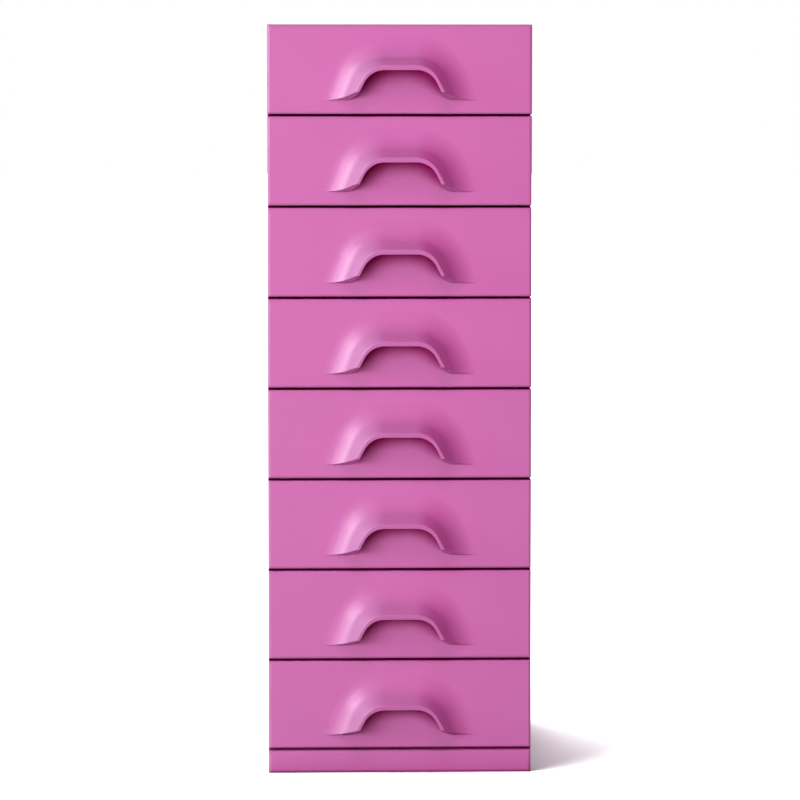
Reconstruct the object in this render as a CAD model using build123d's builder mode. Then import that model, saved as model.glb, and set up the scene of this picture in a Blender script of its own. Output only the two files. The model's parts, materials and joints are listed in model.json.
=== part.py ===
from build123d import *
from math import cos, radians, sin, tan
import os

os.makedirs("parts", exist_ok=True)

# Main sizes in millimetres
width = 290
body_depth = 360
drawer_count = 8
front_height = 98
front_gap = 2
front_thick = 20
plinth_height = 25
edge_round = 3.5

# Hooded pull moulded out of each front, measured up from its base line
hood_base = 15.2
lip_rise = 33.3
lip_half_flat = 17.5
lip_radius = 25
lip_leg_angle = 64
lip_reach = 34
lip_tilt = 14
underside_rise = 18
hood_spread = 18.9
hood_leg_angle = 68
hood_depth = 42
crown_inset = 6.3
crown_lift = 8.1
root_round = 27
cavity_flare = 6
flare_depth = 12
cavity_waist = 1.9
lip_inner_round = 0.8
lip_outer_round = 1

# Cabinet boards
panel_thick = 12
back_thick = 6
tongue = 6
front_clear = 1.5
board_round = 1.5
rear_rail_thick = 16

# Drawer boxes and their wooden runners
box_headroom = 3
box_lift = 5
box_rear_gap = 8
box_side = 12
box_tongue = 5
side_clear = 1
box_round = 1.5
bottom_thick = 5
bottom_lift = 8
groove_slack = 0.3
bottom_short = 2
runner_width = 7
runner_height = 14
runner_rear_gap = 5.5
runner_lift = 38
runner_slack = 0.5
runner_stop = 10

# Positions that follow from the sizes above
pitch = front_height + front_gap
height = plinth_height + drawer_count * pitch
half = width / 2
inner_half = half - panel_thick
box_half = inner_half - side_clear
box_inner = box_half - box_side
rise = tan(radians(underside_rise))
lean = tan(radians(lip_tilt))
top_slope = (hood_spread + crown_inset - crown_lift) / hood_depth
hood_reach = (lip_reach + hood_spread * lean) / (1 + top_slope * lean)
face_y = (hood_reach - body_depth) / 2
back_y = face_y + body_depth
box_y = face_y + front_thick
carcass_y = box_y + front_clear
box_end = back_y - back_thick - box_rear_gap
box_height = front_height - panel_thick - box_lift - box_headroom
groove_depth = runner_width - side_clear + runner_slack


def front_bottom(number):
    return height - number * pitch + front_gap


def block(x, y, z, mode=Mode.ADD):
    with Locations((x[0], y[0], z[0])):
        Box(x[1] - x[0], y[1] - y[0], z[1] - z[0], align=(Align.MIN,) * 3, mode=mode)


def save(part, name):
    part.label = name
    export_step(part, f"parts/{name}.step")


def arch(grow, foot, leg_angle=lip_leg_angle, lift=0):
    # closed arch outline: the lip's inner edge grown outward, with legs down to foot
    radius = lip_radius + grow
    centre = hood_base + lip_rise - lip_radius + lift
    turn = radians(leg_angle)
    end_x = lip_half_flat + radius * sin(turn)
    end_z = centre + radius * cos(turn)
    foot_x = end_x + (end_z - foot) / tan(turn)
    mid_x = lip_half_flat + radius * sin(turn / 2)
    mid_z = centre + radius * cos(turn / 2)
    top_z = centre + radius
    with BuildLine() as outline:
        Line((-lip_half_flat, top_z), (lip_half_flat, top_z))
        ThreePointArc((lip_half_flat, top_z), (mid_x, mid_z), (end_x, end_z))
        Polyline((end_x, end_z), (foot_x, foot), (-foot_x, foot), (-end_x, end_z))
        ThreePointArc((-end_x, end_z), (-mid_x, mid_z), (-lip_half_flat, top_z))
    make_face(outline.edges())


def cut_across(points):
    # cuts away a prism that runs over the whole width, drawn from the side as (y, z) points
    with BuildSketch(Plane.YZ.offset(-half)) as profile:
        with BuildLine() as side:
            Polyline(*points, close=True)
        make_face(side.edges())
    extrude(profile.sketch, amount=width, mode=Mode.SUBTRACT)


def in_mouth(edge):
    # true for an edge that lies in the leaning plane of the hood's mouth
    ends = [edge @ 0, edge @ 0.5, edge @ 1]
    return all(abs(p.Y - lip_y + (p.Z - lip_z) * lean) < 0.01 for p in ends)


# Drawer front with its hood, drawn with its lower edge at height 0
hood_foot = hood_base - 8
lip_y = face_y - lip_reach
lip_z = hood_base + lip_rise
face_plane = Plane.XZ.offset(-face_y)
with BuildPart() as front:
    with BuildSketch(face_plane.offset(-front_thick)):
        Rectangle(width, front_height, align=(Align.CENTER, Align.MIN))
    extrude(amount=front_thick)
    rim = front.faces().sort_by(Axis.Y)[0].edges()
    fillet(rim, edge_round)

    # The hood narrows as it rises out of the face, with a wide blend at its root
    with BuildSketch(face_plane):
        arch(hood_spread, hood_foot, hood_leg_angle)
    with BuildSketch(face_plane.offset(hood_depth)):
        arch(-crown_inset, hood_foot, hood_leg_angle, crown_lift)
    loft(ruled=True)
    panel = front.faces().filter_by(Plane.XZ).filter_by(lambda f: abs(f.center().Y - face_y) < 0.01)
    root = panel[0].inner_wires()[0].edges()
    fillet(root.filter_by(lambda e: e.center().Z > hood_foot + 1), root_round)

    # Its underside slopes up and its mouth leans forward
    far = hood_depth + 5
    cut_across([(face_y, hood_base), (face_y - far, hood_base + far * rise), (face_y - far, 0), (face_y, 0)])
    span = lip_rise + hood_spread + root_round
    top = (lip_y - span * lean, lip_z + span)
    low = (lip_y + span * lean, lip_z - span)
    cut_across([top, low, (lip_y - span, lip_z - span), (lip_y - span, lip_z + span)])
    mouth = [e for e in front.edges() if in_mouth(e) and e.center().Z > hood_base + 11]
    fillet(mouth, lip_outer_round)

    # The finger hollow flares toward the face
    with BuildSketch(face_plane):
        arch(cavity_flare, hood_foot - 4)
    with BuildSketch(face_plane.offset(flare_depth)):
        arch(cavity_waist, hood_foot - 4)
    with BuildSketch(face_plane.offset(hood_depth)):
        arch(0, hood_foot - 4)
    loft(mode=Mode.SUBTRACT)
    hollow_rim = [e for e in front.edges(Select.NEW) if in_mouth(e) and e.length > 10]
    fillet(hollow_rim, lip_inner_round)

# Inner front of a drawer box, grooved for the bottom
groove_high = bottom_lift + bottom_thick + groove_slack
with BuildPart() as inner_front:
    block((-box_inner - box_tongue, box_inner + box_tongue), (box_y, box_y + box_side), (0, box_height))
    block((-half, half), (box_y + box_side - box_tongue, box_end), (bottom_lift, groove_high), Mode.SUBTRACT)
    top = inner_front.faces().sort_by(Axis.Z)[-1].edges().filter_by(Axis.X).sort_by(Axis.Y)[-1]
    fillet(top, box_round)

# Box side with its runner groove outside, and rebate, housing and bottom groove inside
back_y0 = box_end - box_side
groove_low_y = box_y + runner_stop
with BuildPart() as box_right:
    block((box_inner, box_half), (box_y, box_end), (0, box_height))
    tops = box_right.faces().sort_by(Axis.Z)[-1].edges().filter_by(Axis.Y)
    fillet(tops, box_round)
    tongue_x = (box_inner, box_inner + box_tongue)
    block(tongue_x, (box_y, box_y + box_side), (0, box_height), Mode.SUBTRACT)
    block(tongue_x, (back_y0, box_end), (bottom_lift, box_height), Mode.SUBTRACT)
    block(tongue_x, (box_y, box_end), (bottom_lift, groove_high), Mode.SUBTRACT)
    groove_z = (runner_lift - runner_slack, runner_lift + runner_height + runner_slack)
    block((box_half - groove_depth, half), (groove_low_y, back_y), groove_z, Mode.SUBTRACT)
with BuildPart() as box_left:
    mirror(box_right.part, about=Plane.YZ)

# Box back standing on the bottom board
with BuildPart() as box_back:
    back_z = (bottom_lift + bottom_thick, box_height)
    block((-box_inner - box_tongue, box_inner + box_tongue), (back_y0, box_end), back_z)
    upper = box_back.faces().sort_by(Axis.Z)[-1].edges().filter_by(Axis.X)
    fillet(upper, box_round)

with BuildPart() as box_bottom:
    bottom_y = (box_y + box_side - box_tongue, box_end - bottom_short)
    block((-box_inner - box_tongue, box_inner + box_tongue), bottom_y, (bottom_lift, groove_high - groove_slack))

# Cabinet sides, housed for the top, the bottom board and the back
bottom_z = (plinth_height - panel_thick, plinth_height)
with BuildPart() as side_right:
    block((inner_half, half), (carcass_y, back_y), (0, height))
    corner = side_right.edges().filter_by(lambda e: e.center().X > half - 0.1)
    fillet(corner.filter_by(Axis.Z) + corner.filter_by(Axis.Y).sort_by(Axis.Z)[-1:], board_round)
    tongue_x = (inner_half, inner_half + tongue)
    block(tongue_x, (carcass_y, back_y), (height - panel_thick, height), Mode.SUBTRACT)
    block(tongue_x, (carcass_y, back_y), bottom_z, Mode.SUBTRACT)
    block(tongue_x, (back_y - back_thick, back_y), (bottom_z[0], height), Mode.SUBTRACT)
with BuildPart() as side_left:
    mirror(side_right.part, about=Plane.YZ)

board_x = (-inner_half - tongue, inner_half + tongue)
back_z = (bottom_z[0], height - panel_thick + tongue)
with BuildPart() as top_panel:
    block(board_x, (carcass_y, back_y), (height - panel_thick, height))
    block(board_x, (back_y - back_thick, back_y), (height - panel_thick, back_z[1]), Mode.SUBTRACT)

with BuildPart() as bottom_panel:
    block(board_x, (carcass_y, back_y - back_thick), bottom_z)

with BuildPart() as back_panel:
    block(board_x, (back_y - back_thick, back_y), back_z)

with BuildPart() as plinth_front:
    block((-half, half), (face_y, carcass_y), (0, plinth_height))
    fillet(plinth_front.faces().sort_by(Axis.Y)[0].edges(), edge_round)

with BuildPart() as plinth_rear:
    block((-inner_half, inner_half), (back_y - rear_rail_thick, back_y), (0, bottom_z[0]))

# Runners, one for each drawer on each side, rounded where the drawer slides on
runner_y = (groove_low_y + runner_slack, back_y - back_thick - runner_rear_gap)
with BuildPart() as runners_right:
    for number in range(1, drawer_count + 1):
        z = front_bottom(number) + box_lift + runner_lift
        block((inner_half - runner_width, inner_half), runner_y, (z, z + runner_height))
    noses = runners_right.edges().filter_by(Axis.X).group_by(Axis.Y)[0]
    fillet(noses, runner_height / 3)
with BuildPart() as runners_left:
    mirror(runners_right.part, about=Plane.YZ)

cabinet = {
    "side_panel_left": side_left,
    "side_panel_right": side_right,
    "top_panel": top_panel,
    "bottom_panel": bottom_panel,
    "back_panel": back_panel,
    "plinth_front": plinth_front,
    "plinth_rear": plinth_rear,
    "runners_left": runners_left,
    "runners_right": runners_right,
}
for name, piece in cabinet.items():
    save(piece.part, name)

# Every drawer is the same set of pieces, one pitch lower than the one above
box_pieces = {
    "inner_front": inner_front,
    "box_left": box_left,
    "box_right": box_right,
    "box_back": box_back,
    "box_bottom": box_bottom,
}
for number in range(1, drawer_count + 1):
    base = front_bottom(number)
    with BuildPart() as placed:
        with Locations((0, 0, base)):
            add(front.part)
    save(placed.part, f"front_{number}")
    for name, piece in box_pieces.items():
        with BuildPart() as placed:
            with Locations((0, 0, base + box_lift)):
                add(piece.part)
        save(placed.part, f"{name}_{number}")
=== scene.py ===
"""Looks of a narrow lacquered chest of drawers with hooded pulls, added round its CAD frame."""

import json
import math

import bmesh
import bpy
from mathutils import Matrix, Vector


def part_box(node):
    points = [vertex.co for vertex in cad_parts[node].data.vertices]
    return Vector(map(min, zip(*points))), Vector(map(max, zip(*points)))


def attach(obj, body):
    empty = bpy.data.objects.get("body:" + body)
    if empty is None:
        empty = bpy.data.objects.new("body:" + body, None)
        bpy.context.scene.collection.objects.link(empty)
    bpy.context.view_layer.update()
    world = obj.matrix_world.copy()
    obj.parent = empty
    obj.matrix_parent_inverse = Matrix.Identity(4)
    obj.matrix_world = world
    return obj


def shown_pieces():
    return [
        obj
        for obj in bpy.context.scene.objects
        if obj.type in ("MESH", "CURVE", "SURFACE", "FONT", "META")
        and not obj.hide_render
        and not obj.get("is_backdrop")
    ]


bl_info = {
    "name": "Lacquered Chest of Drawers",
    "version": (1, 0, 0),
    "blender": (4, 5, 0),
    "location": "View3D > Sidebar > Chest",
    "description": "Finishes, fasteners and studio for a chest of drawers with hooded pulls",
    "category": "Object",
}

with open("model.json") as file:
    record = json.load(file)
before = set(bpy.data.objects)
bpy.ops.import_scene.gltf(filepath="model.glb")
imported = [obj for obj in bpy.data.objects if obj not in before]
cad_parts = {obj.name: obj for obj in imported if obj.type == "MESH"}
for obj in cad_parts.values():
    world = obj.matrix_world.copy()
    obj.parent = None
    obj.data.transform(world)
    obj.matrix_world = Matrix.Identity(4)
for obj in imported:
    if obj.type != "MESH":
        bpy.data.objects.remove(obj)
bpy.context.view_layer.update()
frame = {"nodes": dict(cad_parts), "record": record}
NODES = frame["nodes"]
DRAWERS = sorted(int(name.split("_")[1]) for name in NODES if name.startswith("front_"))

# Painted shade: what the plinth's colour is multiplied by in recesses and close to the floor
PLINTH_PAINTED_SHADE = (0.85, 0.6, 0.75)

# Where screws sit along a runner and up the back, as shares of its length
RUNNER_SCREWS = (0.09, 0.5, 0.91)
BACK_SCREWS = (0.03, 0.2, 0.4, 0.6, 0.8, 0.97)

# How far the back's screws are from its edge, in metres
BACK_SCREW_MARGIN = 0.0035

# The studio, in metres
AIM_HEIGHT = 0.42
PANEL_DISTANCE = 3.6
FILL_DISTANCE = 2.6
FILL_SIZE = (1.6, 1.6)
FLOOR_SIZE = 60

# Direction of the room's side that reflections show dark
DARK_SIDE = (0.25, -1, 0)

# Colours of the lights
WHITE = (1, 1, 1)
PALE = (0.76, 0.95, 0.84)
COOL = (0.26, 1, 0.44)
ROSE = (1, 0.05, 0.42)
PINK_LOW = (1, 0.42, 0.64)
PINK_HIGH = (1, 0.44, 0.8)


# Node material helpers

def new_material(name):
    """Empty node material with a Principled surface; returns the material, its tree and the surface."""
    material = bpy.data.materials.new(name)
    material.use_nodes = True
    tree = material.node_tree
    tree.nodes.clear()
    output = tree.nodes.new("ShaderNodeOutputMaterial")
    surface = tree.nodes.new("ShaderNodeBsdfPrincipled")
    tree.links.new(surface.outputs["BSDF"], output.inputs["Surface"])
    return material, tree, surface


def object_noise(tree, stretch, scale, detail=3.0, roughness=0.5):
    """Noise in the object's own metres, stretched by the three factors in stretch."""
    coords = tree.nodes.new("ShaderNodeTexCoord")
    mapping = tree.nodes.new("ShaderNodeMapping")
    mapping.inputs["Scale"].default_value = stretch
    noise = tree.nodes.new("ShaderNodeTexNoise")
    noise.inputs["Scale"].default_value = scale
    noise.inputs["Detail"].default_value = detail
    noise.inputs["Roughness"].default_value = roughness
    tree.links.new(coords.outputs["Object"], mapping.inputs["Vector"])
    tree.links.new(mapping.outputs["Vector"], noise.inputs["Vector"])
    return noise


def remap(tree, value, low, high, start=0.3, end=0.7):
    """Value rescaled from the range start..end to low..high."""
    node = tree.nodes.new("ShaderNodeMapRange")
    node.inputs["From Min"].default_value = start
    node.inputs["From Max"].default_value = end
    node.inputs["To Min"].default_value = low
    node.inputs["To Max"].default_value = high
    tree.links.new(value, node.inputs["Value"])
    return node.outputs["Result"]


def tinted(tree, factor, first, second):
    """Colour that runs from first to second with factor."""
    mix = tree.nodes.new("ShaderNodeMix")
    mix.data_type = "RGBA"
    mix.inputs["A"].default_value = (*first, 1)
    mix.inputs["B"].default_value = (*second, 1)
    tree.links.new(factor, mix.inputs["Factor"])
    return mix.outputs["Result"]


def bumped(tree, surface, height, strength, distance, edge=0.0):
    """Bump on surface from a height value; edge is the radius that softens the sharp edges."""
    bump = tree.nodes.new("ShaderNodeBump")
    bump.inputs["Strength"].default_value = strength
    bump.inputs["Distance"].default_value = distance
    tree.links.new(height, bump.inputs["Height"])
    if edge:
        bevel = tree.nodes.new("ShaderNodeBevel")
        bevel.samples = 6
        bevel.inputs["Radius"].default_value = edge
        tree.links.new(bevel.outputs["Normal"], bump.inputs["Normal"])
    tree.links.new(bump.outputs["Normal"], surface.inputs["Normal"])


def shade(color, factor):
    """Colour made lighter or darker by factor."""
    return tuple(min(1.0, channel * factor) for channel in color)


def lacquer(name, color, roughness, ripple, painted_shade_color):
    """Sprayed satin lacquer with cloudiness, uneven sheen and orange peel; the last argument paints shade
    into its recesses.
    """
    material, tree, surface = new_material(name)
    cloud = object_noise(tree, (1, 1, 1), 7, 2)
    body = tinted(tree, remap(tree, cloud.outputs["Fac"], 0, 1), shade(color, 0.985), shade(color, 1.015))
    # Painted shade: an occlusion mask multiplies the colour by a dark tint in recesses, gaps and under the
    # pulls
    recess = tree.nodes.new("ShaderNodeAmbientOcclusion")
    recess.samples = 12
    recess.inputs["Distance"].default_value = 0.05
    openness = remap(tree, recess.outputs["AO"], 0, 1, 0.47, 0.66)
    mix = tree.nodes.new("ShaderNodeMix")
    mix.data_type = "RGBA"
    mix.blend_type = "MULTIPLY"
    mix.inputs["Factor"].default_value = 1
    tree.links.new(body, mix.inputs["A"])
    tree.links.new(tinted(tree, openness, painted_shade_color, (1, 1, 1)), mix.inputs["B"])
    tree.links.new(mix.outputs["Result"], surface.inputs["Base Color"])
    # Painted shade on the gloss: reflections are lowered where the occlusion mask is dark
    tree.links.new(remap(tree, openness, 0, 0.5, 0.3, 0.9), surface.inputs["Specular IOR Level"])
    sheen = object_noise(tree, (1, 1, 1), 22, 3)
    uneven = remap(tree, sheen.outputs["Fac"], roughness - 0.02, roughness + 0.02)
    tree.links.new(uneven, surface.inputs["Roughness"])
    surface.inputs["IOR"].default_value = 1.5
    peel = object_noise(tree, (1, 1, 1), 420, 2)
    bumped(tree, surface, peel.outputs["Fac"], ripple, 0.0002, 0.0008)
    return material


def wood(name, light, dark, along, roughness):
    """Planed wood: streaky grain that runs along one axis, with pores and an uneven matt sheen."""
    material, tree, surface = new_material(name)
    fine = tuple(0.06 if axis == along else 1.0 for axis in "XYZ")
    broad = tuple(0.12 if axis == along else 1.0 for axis in "XYZ")
    streak = object_noise(tree, fine, 260, 4, 0.6)
    wave = object_noise(tree, broad, 34, 2)
    mixed = tree.nodes.new("ShaderNodeMath")
    mixed.operation = "MULTIPLY_ADD"
    mixed.inputs[1].default_value = 0.55
    tree.links.new(streak.outputs["Fac"], mixed.inputs[0])
    tree.links.new(remap(tree, wave.outputs["Fac"], 0, 0.45, 0.25, 0.75), mixed.inputs[2])
    grain = remap(tree, mixed.outputs["Value"], 0, 1, 0.3, 0.75)
    tree.links.new(tinted(tree, grain, light, dark), surface.inputs["Base Color"])
    uneven = remap(tree, grain, roughness - 0.06, roughness + 0.08, 0, 1)
    tree.links.new(uneven, surface.inputs["Roughness"])
    bumped(tree, surface, streak.outputs["Fac"], 0.25, 0.0003)
    return material


def plated(name, color, roughness):
    """Zinc-plated steel with fine scratches and slightly dull patches."""
    material, tree, surface = new_material(name)
    patch = object_noise(tree, (1, 1, 1), 900, 3)
    tone = tinted(tree, patch.outputs["Fac"], shade(color, 0.85), color)
    tree.links.new(tone, surface.inputs["Base Color"])
    dull = remap(tree, patch.outputs["Fac"], roughness - 0.06, roughness + 0.1)
    tree.links.new(dull, surface.inputs["Roughness"])
    surface.inputs["Metallic"].default_value = 1
    scratch = object_noise(tree, (1, 8, 1), 2600, 2)
    bumped(tree, surface, scratch.outputs["Fac"], 0.15, 0.00005)
    return material


def assign(obj, material):
    """Gives obj that one material."""
    obj.data.materials.clear()
    obj.data.materials.append(material)


# Fasteners

def screw_head(mesh, centre, direction, radius):
    """Adds a countersunk cross-recess screw head to mesh; it faces direction and stands 0.2 mm proud."""
    arm = radius * 0.55
    slot = radius * 0.13
    proud = 0.0002
    turn = Vector((0, 0, 1)).rotation_difference(Vector(direction)).to_matrix().to_4x4()
    place = Matrix.Translation(Vector(centre)) @ turn
    quarter = [(arm, -slot), (arm, slot), (slot, slot)]
    cross = []
    for turn_count in range(4):
        for x, y in quarter:
            for _ in range(turn_count):
                x, y = -y, x
            cross.append((x, y))
    steps = 24
    circle = [(math.cos(2 * math.pi * k / steps), math.sin(2 * math.pi * k / steps)) for k in range(steps)]

    def ring(points, scale, z):
        return [mesh.verts.new(place @ Vector((x * scale, y * scale, z))) for x, y in points]

    def band(low, high):
        for k in range(len(low)):
            after = (k + 1) % len(low)
            mesh.faces.new((low[k], low[after], high[after], high[k]))

    skirt = ring(circle, radius, -radius * 0.1)
    rim = ring(circle, radius * 0.94, proud)
    lip = ring(cross, 1, proud)
    pit = ring(cross, 0.8, -radius * 0.35)
    band(skirt, rim)
    band(lip, pit)
    mesh.faces.new(pit)
    loops = [mesh.edges.get((lip[k], lip[(k + 1) % len(lip)])) for k in range(len(lip))]
    loops += [mesh.edges.get((rim[k], rim[(k + 1) % steps])) for k in range(steps)]
    bmesh.ops.triangle_fill(mesh, edges=loops, use_beauty=True)


def screws(name, body, places, direction, radius, material):
    """One object with a screw head at every place, riding on a CAD body."""
    mesh = bmesh.new()
    for centre in places:
        screw_head(mesh, centre, direction, radius)
    bmesh.ops.recalc_face_normals(mesh, faces=mesh.faces)
    data = bpy.data.meshes.new(name)
    mesh.to_mesh(data)
    mesh.free()
    obj = bpy.data.objects.new(name, data)
    bpy.context.scene.collection.objects.link(obj)
    assign(obj, material)
    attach(obj, body)
    return obj


def runner_middle(number):
    """Height of a drawer's runner: the middle of the eight-fold pattern that the runners follow."""
    low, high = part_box("runners_left")
    pitch = (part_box("front_1")[0].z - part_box(f"front_{DRAWERS[-1]}")[0].z) / (len(DRAWERS) - 1)
    thickness = (high.z - low.z) - pitch * (len(DRAWERS) - 1)
    return high.z - thickness / 2 - pitch * (number - 1)


# Studio helpers

def area_light(name, place, target, size, power, color=(1, 1, 1)):
    """Rectangular soft light at place, aimed at target."""
    data = bpy.data.lights.new(name, "AREA")
    data.shape = "RECTANGLE"
    data.size, data.size_y = size
    data.energy = power
    data.color = color
    obj = bpy.data.objects.new(name, data)
    obj.location = place
    obj.rotation_euler = (Vector(target) - Vector(place)).to_track_quat("-Z", "Y").to_euler()
    bpy.context.scene.collection.objects.link(obj)
    return obj


def around(centre, azimuth, elevation, distance):
    """Point seen from centre at an azimuth left of the camera's side, an elevation and a distance."""
    flat = distance * math.cos(elevation)
    offset = (-flat * math.sin(azimuth), -flat * math.cos(azimuth), distance * math.sin(elevation))
    return Vector(centre) + Vector(offset)


def light_only(light, members):
    """Lets light fall on members alone."""
    group = bpy.data.collections.new(light.name + "_receivers")
    for obj in members:
        group.objects.link(obj)
    light.light_linking.receiver_collection = group


def maximum(tree, first, second):
    """The larger of two values."""
    node = tree.nodes.new("ShaderNodeMath")
    node.operation = "MAXIMUM"
    tree.links.new(first, node.inputs[0])
    tree.links.new(second, node.inputs[1])
    return node.outputs["Value"]


def seen_directly(tree):
    """1 for camera, glossy and transmission rays, 0 for the rays that light a surface."""
    path = tree.nodes.new("ShaderNodeLightPath")
    seen = maximum(tree, path.outputs["Is Camera Ray"], path.outputs["Is Glossy Ray"])
    return maximum(tree, seen, path.outputs["Is Transmission Ray"]), path


def bright_world(ambient, dark_side):
    """White background that lights surfaces dimly; reflections of the dark side of the room fade out."""
    world = bpy.data.worlds.new("Studio")
    bpy.context.scene.world = world
    world.use_nodes = True
    tree = world.node_tree
    tree.nodes.clear()
    seen, path = seen_directly(tree)
    coords = tree.nodes.new("ShaderNodeTexCoord")
    toward = tree.nodes.new("ShaderNodeVectorMath")
    toward.operation = "DOT_PRODUCT"
    toward.inputs[1].default_value = Vector(dark_side).normalized()
    tree.links.new(coords.outputs["Generated"], toward.inputs[0])
    mirrored = remap(tree, toward.outputs["Value"], 1, 0.08, -0.35, 0.45)
    white = maximum(tree, path.outputs["Is Camera Ray"], mirrored)
    strength = tree.nodes.new("ShaderNodeMath")
    strength.operation = "MULTIPLY"
    tree.links.new(white, strength.inputs[0])
    tree.links.new(remap(tree, seen, ambient, 1, 0, 1), strength.inputs[1])
    background = tree.nodes.new("ShaderNodeBackground")
    background.inputs["Color"].default_value = (1, 1, 1, 1)
    tree.links.new(strength.outputs["Value"], background.inputs["Strength"])
    output = tree.nodes.new("ShaderNodeOutputWorld")
    tree.links.new(background.outputs["Background"], output.inputs["Surface"])


def floor_plane(size):
    """Pale matt studio floor; rays that light other surfaces see it darker."""
    data = bpy.data.meshes.new("studio_floor")
    half = size / 2
    corners = [(-half, -half, 0), (half, -half, 0), (half, half, 0), (-half, half, 0)]
    data.from_pydata(corners, [], [(0, 1, 2, 3)])
    floor = bpy.data.objects.new("studio_floor", data)
    bpy.context.scene.collection.objects.link(floor)
    material, tree, surface = new_material("studio_floor")
    seen, path = seen_directly(tree)
    pictured = remap(tree, path.outputs["Is Camera Ray"], 0, 0.9, 0, 1)
    mirrored = remap(tree, seen, 0.05, 0.35, 0, 1)
    tree.links.new(maximum(tree, pictured, mirrored), surface.inputs["Base Color"])
    surface.inputs["Roughness"].default_value = 0.9
    surface.inputs["Specular IOR Level"].default_value = 0.0
    assign(floor, material)
    floor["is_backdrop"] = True
    return floor


def sun(name, azimuth, elevation, spread, power):
    """Soft sun from an azimuth left of the camera's side; power is its light on level ground."""
    data = bpy.data.lights.new(name, "SUN")
    data.angle = spread
    data.energy = power / math.sin(elevation)
    obj = bpy.data.objects.new(name, data)
    toward = around((0, 0, 0), azimuth, elevation, 1)
    obj.rotation_euler = toward.to_track_quat("Z", "Y").to_euler()
    bpy.context.scene.collection.objects.link(obj)
    return obj


class ChestSettings(bpy.types.PropertyGroup):
    """Values that the chest's finishes, fasteners and studio are made with."""

    lacquer_color: bpy.props.FloatVectorProperty(
        name="Lacquer", description="Colour of the lacquered boards", subtype="COLOR", size=3,
        default=(0.56, 0.165, 0.44), min=0, max=1)
    # Painted shade: the colour that the lacquer is multiplied by in deep recesses, where shade falls
    painted_recess_shade: bpy.props.FloatVectorProperty(
        name="Painted Recess Shade", description="What the lacquer's colour is multiplied by in deep recesses",
        subtype="COLOR", size=3, default=(0.42, 0.01, 0.2), min=0, max=1)
    lacquer_roughness: bpy.props.FloatProperty(
        name="Sheen", description="Roughness of the lacquer", default=0.36, min=0.05, max=1)
    lacquer_ripple: bpy.props.FloatProperty(
        name="Orange Peel", description="Strength of the sprayed lacquer's ripple", default=0.06, min=0,
        max=1)
    ply_light: bpy.props.FloatVectorProperty(
        name="Plywood Light", description="Lighter grain of the drawer boxes", subtype="COLOR", size=3,
        default=(0.64, 0.46, 0.27), min=0, max=1)
    ply_dark: bpy.props.FloatVectorProperty(
        name="Plywood Dark", description="Darker grain of the drawer boxes", subtype="COLOR", size=3,
        default=(0.44, 0.28, 0.14), min=0, max=1)
    beech_light: bpy.props.FloatVectorProperty(
        name="Runner Light", description="Lighter grain of the runners", subtype="COLOR", size=3,
        default=(0.52, 0.32, 0.16), min=0, max=1)
    beech_dark: bpy.props.FloatVectorProperty(
        name="Runner Dark", description="Darker grain of the runners", subtype="COLOR", size=3,
        default=(0.34, 0.18, 0.08), min=0, max=1)
    screw_radius: bpy.props.FloatProperty(
        name="Screw Head Radius", description="Radius of a screw head", default=0.0035, min=0.001,
        unit="LENGTH")
    front_screw_inset: bpy.props.FloatProperty(
        name="Front Screw Inset", description="Distance of the front's screws from the box side",
        default=0.035, min=0.01, unit="LENGTH")
    lens: bpy.props.FloatProperty(
        name="Focal Length", description="Focal length on a sensor 36 mm wide", default=164.41, min=20,
        unit="CAMERA")
    lens_fall: bpy.props.FloatProperty(
        name="Lens Fall", description="Downward shift of the picture, as a share of its width",
        default=0.0785, min=-1, max=1)
    camera_place: bpy.props.FloatVectorProperty(
        name="Camera", description="Camera position ahead of the fronts", subtype="TRANSLATION", size=3,
        default=(-0.125, -4, 0.75), unit="LENGTH")
    camera_pitch: bpy.props.FloatProperty(
        name="Pitch", description="Upward tilt of the camera", default=math.radians(-3.821),
        subtype="ANGLE")
    camera_yaw: bpy.props.FloatProperty(
        name="Yaw", description="Turn of the camera to the right", default=math.radians(1.793),
        subtype="ANGLE")
    key_power: bpy.props.FloatProperty(
        name="Key Light", description="Power of the large soft light in front on the left",
        default=91, min=0, unit="POWER")
    side_power: bpy.props.FloatProperty(
        name="Side Light", description="Power of the cool soft light from the left", default=100, min=0,
        unit="POWER")
    sheen_power: bpy.props.FloatProperty(
        name="Sheen Light", description="Power of the panel on the left that only the gloss shows",
        default=90, min=0, unit="POWER")
    glint_power: bpy.props.FloatProperty(
        name="Glint Light", description="Power of the panel in front on the left that only the gloss shows",
        default=55, min=0, unit="POWER")
    bounce_power: bpy.props.FloatProperty(
        name="Bounce", description="Power of the rose light that comes back onto the fronts",
        default=12, min=0, unit="POWER")
    fill_power: bpy.props.FloatProperty(
        name="Fill Light", description="Power of each soft light on the sides, the back and the boxes",
        default=48, min=0, unit="POWER")
    floor_power: bpy.props.FloatProperty(
        name="Floor Light", description="Strength of each main light that falls on the floor alone",
        default=4.2, min=0)
    ambient: bpy.props.FloatProperty(
        name="Ambient", description="Light from all round", default=0.03, min=0)


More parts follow.
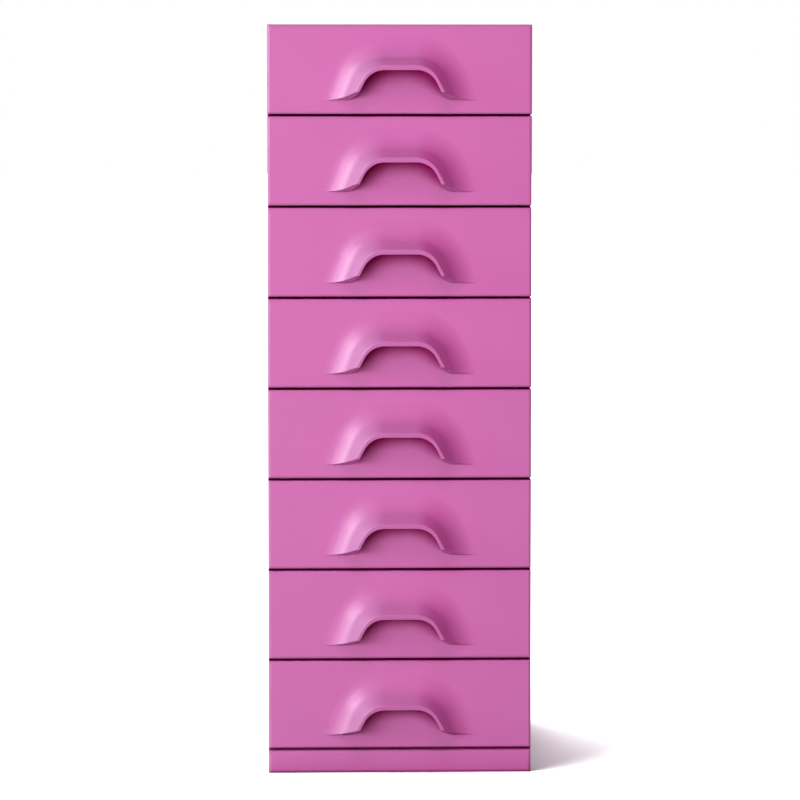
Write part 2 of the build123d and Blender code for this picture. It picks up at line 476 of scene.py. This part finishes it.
class CHEST_OT_finishes(bpy.types.Operator):
    """Give every CAD piece its lacquer, wood or paint"""

    bl_idname = "chest.finishes"
    bl_label = "Finish Pieces"

    def execute(self, context):
        values = context.scene.chest
        pink = tuple(values.lacquer_color)
        finish = {
            "lacquered_board": lacquer(
                "pink_lacquer", pink, values.lacquer_roughness, values.lacquer_ripple, values.painted_recess_shade),
            "birch_plywood": wood("birch_plywood", values.ply_light, values.ply_dark, "Y", 0.5),
            "hardboard": lacquer("painted_board", shade(pink, 0.85), 0.6, 0.2, values.painted_recess_shade),
            "beech": wood("beech", values.beech_light, values.beech_dark, "Y", 0.42),
        }
        # The plinth's lacquer has its own milder painted shade in recesses and close to the floor
        plinth = lacquer(
            "plinth_lacquer", pink, values.lacquer_roughness, values.lacquer_ripple, PLINTH_PAINTED_SHADE)
        across = wood("birch_plywood_across", values.ply_light, values.ply_dark, "X", 0.5)
        for entry in frame["record"]["subparts"]:
            material = finish[entry["material_slot"]]
            if entry["node"].startswith(("inner_front", "box_back")):
                material = across
            elif entry["node"] == "plinth_front":
                material = plinth
            assign(NODES[entry["node"]], material)
        return {"FINISHED"}


class CHEST_OT_screws(bpy.types.Operator):
    """Add the screws of the fronts, the runners and the back"""

    bl_idname = "chest.screws"
    bl_label = "Add Screws"

    def execute(self, context):
        values = context.scene.chest
        radius = values.screw_radius
        small = radius * 0.8
        steel = plated("zinc_screw", (0.62, 0.63, 0.66), 0.32)
        for number in DRAWERS:
            low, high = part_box(f"inner_front_{number}")
            middle = (low.z + high.z) / 2
            inset = values.front_screw_inset
            places = [(x, high.y, middle) for x in (low.x + inset, high.x - inset)]
            screws(f"front_screws_{number}", f"drawer_{number}", places, (0, 1, 0), radius, steel)
        for side, facing in (("left", 1), ("right", -1)):
            low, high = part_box(f"runners_{side}")
            x = high.x if facing > 0 else low.x
            length = high.y - low.y
            places = []
            for number in DRAWERS:
                z = runner_middle(number)
                places += [(x, low.y + length * share, z) for share in RUNNER_SCREWS]
            screws(f"runner_screws_{side}", "cabinet", places, (facing, 0, 0), small, steel)
        low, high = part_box("back_panel")
        places = []
        for x in (low.x + BACK_SCREW_MARGIN, high.x - BACK_SCREW_MARGIN):
            places += [(x, high.y, low.z + (high.z - low.z) * share) for share in BACK_SCREWS]
        screws("back_screws", "cabinet", places, (0, 1, 0), small, steel)
        return {"FINISHED"}


class CHEST_OT_stage(bpy.types.Operator):
    """Set up the floor, the lights, the background and the camera of the photograph"""

    bl_idname = "chest.stage"
    bl_label = "Set Up Studio"

    def execute(self, context):
        values = context.scene.chest
        scene = context.scene
        bright_world(values.ambient, DARK_SIDE)
        floor = floor_plane(FLOOR_SIZE)
        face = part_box("plinth_front")[0].y
        aim = (0, face, AIM_HEIGHT)
        fronts = [NODES[f"front_{number}"] for number in DRAWERS] + [NODES["plinth_front"]]
        rest = [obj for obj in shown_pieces() if obj not in fronts]
        # Name, azimuth, elevation, size, power, colour and whether only the gloss shows it
        panels = (
            ("key_front", 9, 2, (1.4, 0.8), values.key_power * 0.58, PINK_LOW, False),
            ("key_top", 5, 46, (1.4, 1.4), values.key_power * 0.4, PINK_HIGH, False),
            ("key", 33, 8, (2.0, 1.0), values.key_power, PALE, False),
            ("side", 86, 17, (1.8, 1.4), values.side_power, COOL, False),
            ("sheen", 86, 26, (1.8, 2.4), values.sheen_power, WHITE, True),
            ("glint", 52, 20, (2.2, 1.4), values.glint_power, WHITE, True),
            ("bounce", -72, 42, (1.4, 1.4), values.bounce_power, ROSE, False),
        )
        for name, azimuth, elevation, size, power, color, glossy in panels:
            place = around(aim, math.radians(azimuth), math.radians(elevation), PANEL_DISTANCE)
            panel = area_light(name, place, aim, size, power, color)
            panel.visible_glossy = glossy
            panel.visible_diffuse = not glossy
            light_only(panel, fronts)
        # Name, azimuth, elevation and share of the fill light's power
        fills = (
            ("fill_left", 82, 20, 1.6),
            ("fill_right", -80, 25, 1),
            ("fill_back", 180, 25, 1.4),
            ("fill_top", 20, 70, 1.2),
        )
        for name, azimuth, elevation, share in fills:
            place = around(aim, math.radians(azimuth), math.radians(elevation), FILL_DISTANCE)
            light_only(area_light(name, place, aim, FILL_SIZE, values.fill_power * share), rest)
        # Name, azimuth, elevation, spread and share of the floor light's strength
        suns = (
            ("floor_left", 62, 35, 50, 1),
            ("floor_back", 160, 35, 50, 1),
            ("floor_top", 180, 85, 110, 0.17),
        )
        for name, azimuth, elevation, spread, share in suns:
            angles = (math.radians(angle) for angle in (azimuth, elevation, spread))
            light_only(sun(name, *angles, values.floor_power * share), [floor])
        data = bpy.data.cameras.new("photo_camera")
        data.sensor_width = 36
        data.lens = values.lens
        data.shift_y = -values.lens_fall
        camera = bpy.data.objects.new("photo_camera", data)
        place = Vector(values.camera_place)
        camera.location = (place.x, face + place.y, place.z)
        camera.rotation_euler = (math.pi / 2 + values.camera_pitch, 0, -values.camera_yaw)
        scene.collection.objects.link(camera)
        scene.camera = camera
        scene.view_settings.view_transform = "Standard"
        return {"FINISHED"}


class CHEST_PT_panel(bpy.types.Panel):
    """Sidebar panel with the chest's values and operators"""

    bl_label = "Chest of Drawers"
    bl_idname = "CHEST_PT_panel"
    bl_space_type = "VIEW_3D"
    bl_region_type = "UI"
    bl_category = "Chest"

    def draw(self, context):
        layout = self.layout
        for name in ChestSettings.__annotations__:
            layout.prop(context.scene.chest, name)
        for operator in (CHEST_OT_finishes, CHEST_OT_screws, CHEST_OT_stage):
            layout.operator(operator.bl_idname)


CLASSES = (ChestSettings, CHEST_OT_finishes, CHEST_OT_screws, CHEST_OT_stage, CHEST_PT_panel)


def register():
    for cls in CLASSES:
        bpy.utils.register_class(cls)
    bpy.types.Scene.chest = bpy.props.PointerProperty(type=ChestSettings)


def unregister():
    del bpy.types.Scene.chest
    for cls in reversed(CLASSES):
        bpy.utils.unregister_class(cls)


def main():
    """Builds everything in order."""
    register()
    bpy.ops.chest.finishes()
    bpy.ops.chest.screws()
    bpy.ops.chest.stage()


if __name__ == "__main__":
    main()
